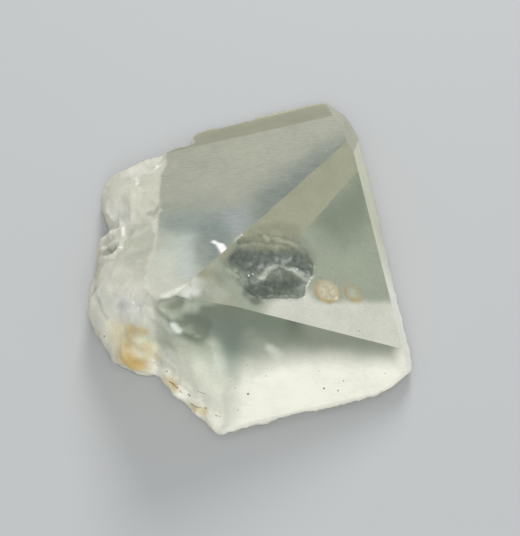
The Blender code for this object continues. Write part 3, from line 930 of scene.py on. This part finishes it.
topaz = {
    "ior": 1.62,
    "absorbColour": (0.7, 0.76, 0.68, 1.0),
    "absorbDensity": 40.0,
    "roughness": 0.3,
    "brokenRoughness": 0.42,
    "hollowRoughness": 0.5,
    # The resting face is tinted dark: painted shade, so the floor seen through the stone looks dark
    "undersideShade": tone(124, 126, 118),
    "undersideClearness": 1.0,
    "markColours": (tone(224, 208, 164), tone(250, 244, 218)),
    "markClearness": 0.45,
    "rimColour": tone(226, 192, 124),
    "markStrength": 0.85,
    "rustColour": tone(70, 50, 22),
    "rustStrength": 0.9,
    "rustEdge": 0.05,
    "speckColour": tone(84, 78, 60),
    "speckDot": (0.4, 0.85),    # soft share of the radius, strength
    # painted glints, small bright highlights
    "glintColour": tone(255, 255, 255),
    "glintClearness": 0.05,
    "glintDot": (0.5, 1.0),
    "wander": 0.9,              # how far the rims of the growth marks wander, mm
    "combedShare": 0.16,
    "mottleShare": 1.7,
    "bumpStrength": 0.25,
    "bumpDepth": 0.00004,
}

# Noise of the skin: grains per mm, detail, roughness, stretch, turn in degrees
patterns = {
    "wander": (1.3, 3.0, 0.5),
    "curls": (2.6, 3.0, 0.7),
    "cloud": (0.35, 4.0, 0.6),
    "fine": (5.0, 2.0, 0.6),
    "combed": (2.4, 3.0, 0.6, (0.3, 1.6, 1.6), 14.0),
    "striped": (2.6, 4.0, 0.7, (0.45, 2.2, 1.0), -17.0),
    "mottle": (2.2, 4.0, 0.7),
}

# Soft steps: where each starts and ends, then what it gives there if not 0 and 1
steps = {
    "cloud": (0.3, 0.7, 0.94, 1.05),
    "fine": (0.25, 0.75, -0.08, 0.06),
    "fineOnFront": (0.0, 1.0, 1.0, 0.35),
    "stripesByClearness": (0.35, 0.65, 0.2, 0.8),
    "streaksByClearness": (0.6, 0.74, 0.12, 0.75),
    "markCurls": (0.38, 0.62),
    "rimCurls": (0.35, 0.6, 0.25, 1.0),
    "rustCurls": (0.36, 0.52, 0.25, 1.0),
}

# Round a growth mark, in mm from its radius: edge of the disc, inner and outer edge of the rim;
# the ochre rim is painted stronger on the near side as painted shade of the raised rim, in mm from
# its middle
markEdges = {
    "disc": (0.25, -0.25),
    "rimInner": (-0.55, -0.05),
    "rimOuter": (0.4, 0.0),
    "rimShadeSides": (1.0, -0.9, 0.35, 1.0),
}

# Fine dark marks in the skin: path, radius
hairMarks = {
    "rustOne": ([(-7.6, -14.5, 1.8), (-7.2, -14.8, 1.9), (-6.8, -15.2, 1.9)], 0.035),
    "rustTwo": ([(-5.5, -16.6, 1.4), (-5.0, -17.2, 1.8), (-4.0, -17.6, 2.3)], 0.035),
    "dashA": ([(-6.6, -15.5, 1.8), (-6.4, -15.7, 1.7)], 0.04),
    "dashB": ([(-5.8, -15.9, 1.9), (-5.6, -16.1, 1.9)], 0.035),
    "dashC": ([(-8.0, -13.9, 2.7), (-7.8, -13.9, 2.8)], 0.04),
    "dashD": ([(-4.9, -16.3, 3.3), (-4.1, -16.8, 3.6)], 0.005),
    "dashE": ([(-3.2, -18.3, 2.2), (-2.7, -18.5, 2.3)], 0.005),
}

# Dark grains in the skin: place, radius
specks = [
    ((-0.14, -16.84, 3.72), 0.11), ((7.02, -15.65, 2.59), 0.1), ((8.36, -15.63, 2.14), 0.08),
    ((8.88, -14.9, 2.69), 0.06), ((12.87, -13.81, 2.16), 0.05), ((-1.08, -17.97, 2.67), 0.06),
    ((1.54, -15.49, 4.76), 0.05), ((-0.23, -15.01, 6.0), 0.05), ((-1.35, -16.6, 4.45), 0.05),
    ((10.34, -10.89, 5.18), 0.06), ((4.44, -13.06, 6.15), 0.05), ((6.53, -14.52, 3.96), 0.04),
    ((7.65, -12.53, 5.4), 0.04), ((-13.99, -10.04, 2.66), 0.09),
]

# Painted glints: bright highlights of tiny cracks under the skin catching the light: place, radius
glints = [
    ((-10.22, -10.84, 9.35), 0.17), ((-10.71, -10.28, 9.32), 0.12), ((-10.81, -10.05, 9.29), 0.07),
    ((-11.31, -10.56, 8.33), 0.15), ((-11.44, -10.54, 7.76), 0.09), ((-10.71, -9.7, 9.62), 0.07),
    ((-13.1, 2.6, 3.3), 0.1), ((-13.5, 1.9, 3.2), 0.12), ((-13.2, 3.4, 3.1), 0.08),
    ((-12.9, -1.5, 4.9), 0.08), ((-0.1, -7.0, 8.8), 0.07), ((0.3, -6.75, 8.75), 0.07),
    ((4.5, -5.2, 7.1), 0.09), ((-4.9, -16.7, 2.2), 0.12), ((-3.9, -9.9, 10.9), 0.05),
]


def makeTopaz(values, piece):
    skin = BVHTree.FromObject(piece, bpy.context.evaluated_depsgraph_get())

    def onSkin(point):
        return tuple(skin.find_nearest(Vector(point) * mm)[0] / mm)

    material = bpy.data.materials.new("topaz")
    material.use_nodes = True
    tree = material.node_tree
    shader = tree.nodes["Principled BSDF"]
    shader.inputs["IOR"].default_value = values["ior"]
    coordinates = tree.nodes.new("ShaderNodeTexCoord")
    place = vectorCalc(tree, "MULTIPLY", coordinates.outputs["Object"], (1.0 / mm,) * 3)
    colour, clear = attributeOf(tree, "tint", "Color"), attributeOf(tree, "clearness")
    parts = ("broken", "hollow", "underside", "broad", "side", "front")
    broken, hollow, underside, broad, side, front = (attributeOf(tree, name) for name in parts)
    seen = {name: grain(tree, place, *settings) for name, settings in patterns.items()}

    # some patterns swing round zero
    swing = {name: calc(tree, "SUBTRACT", seen[name], 0.5)
             for name in ("wander", "combed", "striped", "mottle")}

    # healed growth marks: an uneven ochre rim round a pale middle
    wobble = times(tree, swing["wander"], values["wander"])
    across = vectorCalc(tree, "DOT_PRODUCT", place, (0.0, 1.0, 0.0), "Value")
    for (x, y), radius, _, pale in growthMarks.values():
        away = vectorCalc(tree, "SUBTRACT", place, (x, y, 0.0))
        away = vectorCalc(tree, "MULTIPLY", away, (1.0, 1.0, 0.0))
        far = vectorCalc(tree, "LENGTH", away, (0.0, 0.0, 0.0), "Value")
        far = calc(tree, "ADD", far, wobble)
        disc, inner, outer = (fade(tree, far, *(radius + edge for edge in markEdges[name]))
                              for name in ("disc", "rimInner", "rimOuter"))
        disc = times(tree, disc, side)
        curls = fade(tree, seen["curls"], *steps["markCurls"])
        inside = blendColour(tree, curls, *values["markColours"])
        colour = blendColour(tree, times(tree, disc, values["markStrength"] * pale), colour, inside)
        clear = blendValue(tree, times(tree, disc, pale), clear, values["markClearness"])
        # the near side of the ochre rim gets painted shade
        start, end, weak, strong = markEdges["rimShadeSides"]
        rim = times(tree, times(tree, inner, outer), side)
        rim = times(tree, rim, fade(tree, across, y + start, y + end, weak, strong))
        rim = times(tree, rim, fade(tree, seen["curls"], *steps["rimCurls"]))
        rim = times(tree, rim, values["markStrength"])
        colour = blendColour(tree, rim, colour, values["rimColour"])

    # milky wisps, fine grain, faint growth lines of the broad face and combed lines in front
    lift = fade(tree, seen["cloud"], *steps["cloud"])
    lessInFront = fade(tree, front, *steps["fineOnFront"])
    fineLift = times(tree, fade(tree, seen["fine"], *steps["fine"]), lessInFront)
    striped = times(tree, broad, fade(tree, clear, *steps["stripesByClearness"]))
    combed = times(tree, times(tree, front, swing["combed"]), values["combedShare"])
    mottled = times(tree, times(tree, hollow, swing["mottle"]), values["mottleShare"])
    for change in (fineLift, times(tree, striped, swing["striped"]), combed, mottled):
        lift = calc(tree, "ADD", lift, change)
    streaks = fade(tree, clear, *steps["streaksByClearness"])
    streaks = times(tree, times(tree, swing["striped"], streaks), broad)
    clear = calc(tree, "SUBTRACT", clear, streaks)
    shade = tree.nodes.new("ShaderNodeCombineColor")
    for socket in shade.inputs:
        feed(tree, socket, lift)
    colour = blendColour(tree, 1.0, colour, shade.outputs[0], "MULTIPLY")

    # rust hairs, dark grains and painted glints
    for path, radius in hairMarks.values():
        path = [onSkin(point) for point in path]
        for start, end in zip(path[:-1], path[1:]):
            factor = fade(tree, distanceToLine(tree, place, start, end), radius,
                          radius + values["rustEdge"], values["rustStrength"], 0.0)
            factor = times(tree, factor, fade(tree, seen["curls"], *steps["rustCurls"]))
            colour = blendColour(tree, factor, colour, values["rustColour"])
    for dots, kind in ((specks, "speck"), (glints, "glint")):
        soft, strength = values[kind + "Dot"]
        for point, radius in dots:
            far = vectorCalc(tree, "DISTANCE", place, onSkin(point), "Value")
            low, high = radius * (1.0 - soft), radius * (1.0 + soft)
            factor = fade(tree, far, low, high, strength, 0.0)
            colour = blendColour(tree, factor, colour, values[kind + "Colour"])
            if kind == "glint":
                clear = blendValue(tree, factor, clear, values["glintClearness"])

    # the resting face gets its painted shade
    colour = blendColour(tree, underside, colour, values["undersideShade"])
    clear = blendValue(tree, underside, clear, values["undersideClearness"])
    rough = blendValue(tree, broken, values["roughness"], values["brokenRoughness"])
    rough = blendValue(tree, hollow, rough, values["hollowRoughness"])
    feed(tree, shader.inputs["Base Color"], colour)
    feed(tree, shader.inputs["Transmission Weight"], clear)
    feed(tree, shader.inputs["Roughness"], rough)

    bump = tree.nodes.new("ShaderNodeBump")
    bump.inputs["Strength"].default_value = values["bumpStrength"]
    bump.inputs["Distance"].default_value = values["bumpDepth"]
    relief = calc(tree, "ADD", seen["fine"], times(tree, seen["striped"], broad))
    feed(tree, bump.inputs["Height"], relief)
    feed(tree, shader.inputs["Normal"], bump.outputs[0])

    absorb = tree.nodes.new("ShaderNodeVolumeAbsorption")
    absorb.inputs["Color"].default_value = values["absorbColour"]
    absorb.inputs["Density"].default_value = values["absorbDensity"]
    feed(tree, tree.nodes["Material Output"].inputs["Volume"], absorb.outputs[0])
    return material


topazStone.data.materials.append(makeTopaz(topaz, topazStone))
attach(topazStone, "root")
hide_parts("topaz_crystal")
print("topaz finished")
